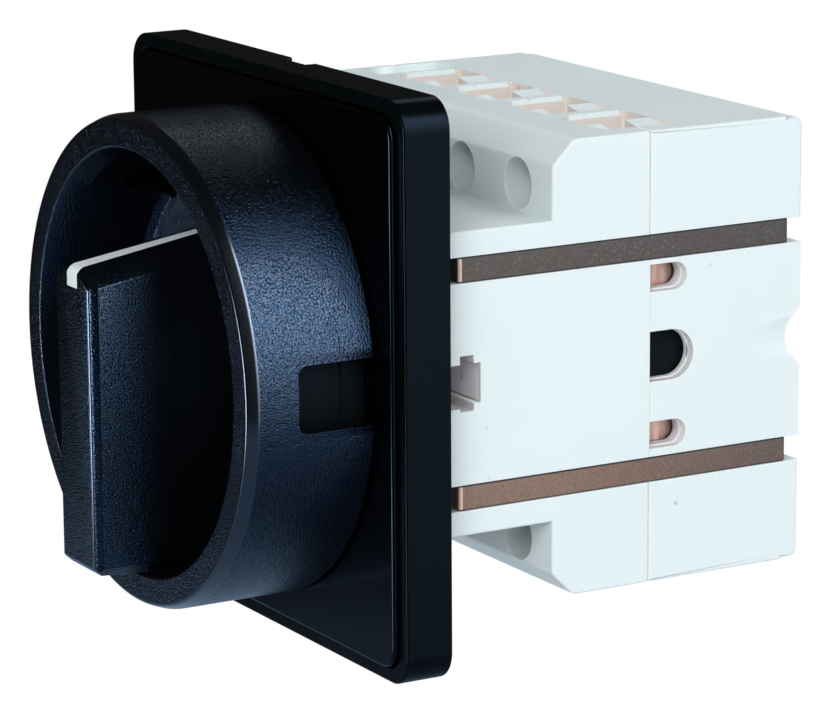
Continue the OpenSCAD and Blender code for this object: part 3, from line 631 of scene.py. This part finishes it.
def makeGrip():
    half, front, bottom = grip["half"], grip["front"], grip["bottom"]
    low, high = grip["blank"]
    bar = box("grip", (-half, -front, low), (half, -grip["root"], high))
    draft, top = radians(grip["draft"]), radians(grip["topSlope"])
    toeDepth, toeHeight = grip["toe"]
    heelWidth, heelHeight = grip["heel"]
    cuts = [((0, -front, bottom), (0, -sin(draft), -cos(draft))),
            ((0, -front + toeDepth, bottom), (0, -toeHeight, -toeDepth))]
    for side in (-1, 1):
        cuts.append(((side * half, -front + grip["bevel"], 0), (side, -1, 0)))
        cuts.append(((side * (half - heelWidth), 0, bottom), (side * heelHeight, 0, -heelWidth)))
    # the top end: a ridge with a fall to both sides, turned into the front in small steps
    elbow, fall = grip["elbow"], tan(radians(grip["gable"]))
    middle = grip["top"] - elbow * (1 - sin(top)) / cos(top)
    for slope in [top] + [radians(step) for step in grip["elbowSteps"]]:
        touch = (-front + elbow - elbow * sin(slope), middle + elbow * cos(slope))
        cuts.append(((0, *touch), (0, -sin(slope), cos(slope))))
        for side in (-1, 1):
            cuts.append(((side * grip["ridge"], *touch),
                         (side * cos(slope) * fall, -sin(slope), cos(slope))))
    sliced(bar, *cuts)
    soften(bar, *grip["edges"])
    carve(bar, turnedForm("gripLimit", grip["limit"], grip["limitFacets"]), "INTERSECT")
    return bar


def pointerTool():  # down the grip's front and along its ridge, narrower to the back
    half, depth, high = pointer["blankHalf"], pointer["depth"], pointer["blankTop"]
    top, behind, front = grip["top"], depth - grip["front"], -grip["front"] - pointer["spare"]
    tool = box("pointerTool", (-half, front, pointer["blankBottom"]),
               (half, -pointer["blankBack"], high))
    slope = radians(grip["topSlope"])
    sliced(tool, ((0, behind, top - depth), (0, sin(slope), -cos(slope))))
    down = box("pointerFront", (-half, front, top - pointer["drop"]), (half, behind, high))
    carve(tool, down, "UNION")
    sliced(tool, *[((side * pointer["half"], front, 0), (side, pointer["taper"], 0))
                   for side in (-1, 1)])
    return tool


def makeKnob():
    drum = turnedForm("knobDrum", knob["rings"], knob["facets"])
    soften(drum, *knob["edges"])
    for angle in knob["windowAngles"]:
        for wall in knob["windowWalls"]:
            carve(drum, windowTool(*wall, angle))
    carve(drum, makeGrip(), "UNION")
    half = knob["socketHalf"]
    carve(drum, box("socket", (-half, -knob["socketFront"], -half),
                    (half, -knob["socketBack"], half)))
    length = knob["pinLength"] * mm
    bpy.ops.mesh.primitive_cylinder_add(vertices=knob["pinFacets"], radius=knob["pinRadius"] * mm,
                                        depth=length, rotation=(0, pi / 2, 0),
                                        location=(-length / 2, -knob["pinFront"] * mm, 0))
    pinHole = bpy.context.object
    freeze(pinHole)
    carve(drum, pinHole)
    carve(drum, pointerTool())
    pick(drum)
    bpy.ops.object.shade_smooth_by_angle(angle=radians(knob["smoothAngle"]))
    standFor(drum, "knob")


def makePointer():
    line = makeGrip()
    line.name = "pointerLine"
    carve(line, pointerTool(), "INTERSECT")
    soften(line, *pointer["edges"])
    standFor(line, "pointer_insert")


makeKnob()
makePointer()
print("knob made")


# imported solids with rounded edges: name, radius in millimetres, segments
rounded = {
    "front_plate": ("plateFrame", 0.35, 4), "legend_panel": ("raisedPanel", 0.5, 4),
    "retaining_clip_1": ("clipRightUpper", 0.1, 2), "retaining_clip_2": ("clipRightLower", 0.1, 2),
    "retaining_clip_3": ("clipLeftUpper", 0.1, 2), "retaining_clip_4": ("clipLeftLower", 0.1, 2),
    "mounting_frame": ("steelFrame", 0.12, 2),
}
housing = {
    "names": {"front_housing": "frontHousingMoulding", "rear_housing": "rearHousingMoulding"},
    "radius": 0.4, "segments": 3, "share": 0.3,
    "blockSide": (38.9, 20.5),       # beyond this width and height, the terminal blocks' side
    "wireWindow": (24, 31, 46),      # height, front and back of the wire windows
    "pocketBottom": (29, 7.2, 8.4),  # width, front and back of the side pockets' bottom
}
flatAngle = 1.0  # degrees


def housingShare(middle):
    # full at the terminal blocks' side faces, none at the wire windows and the pockets' bottom
    width, depth, height = abs(middle.x), middle.y, abs(middle.z)
    sideWidth, sideHeight = housing["blockSide"]
    windowHeight, windowFront, windowBack = housing["wireWindow"]
    pocketWidth, pocketFront, pocketBack = housing["pocketBottom"]
    if height > sideHeight and width > sideWidth:
        return 1.0
    if height > windowHeight and windowFront < depth < windowBack:
        return 0.0
    if width > pocketWidth and pocketFront < depth < pocketBack:
        return 0.0
    return housing["share"]


def roundedCopy(node, name, radius, segments, share=None):
    made = mergedCopy(node, name, flatAngle)
    soften(made, radius, segments, share=share)
    standFor(made, node)


for node, (name, radius, segments) in rounded.items():
    roundedCopy(node, name, radius, segments)
for node, name in housing["names"].items():
    roundedCopy(node, name, housing["radius"], housing["segments"], housingShare)
print("plate, clips, steel frame and housings made")


# the return springs, which the carrier presses against the rear wall, in millimetres
springs = {  # name, place across
    "return_spring_right": ("springRight", 20.8), "return_spring_left": ("springLeft", -12.4),
}
springSmooth = 40  # degrees


def makeSpring(node, name):
    made = mergedCopy(node, name)
    bpy.ops.object.shade_smooth_by_angle(angle=radians(springSmooth))
    standFor(made, node)
    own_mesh(made)


for node, (name, across) in springs.items():
    makeSpring(node, name)
print("return springs made")
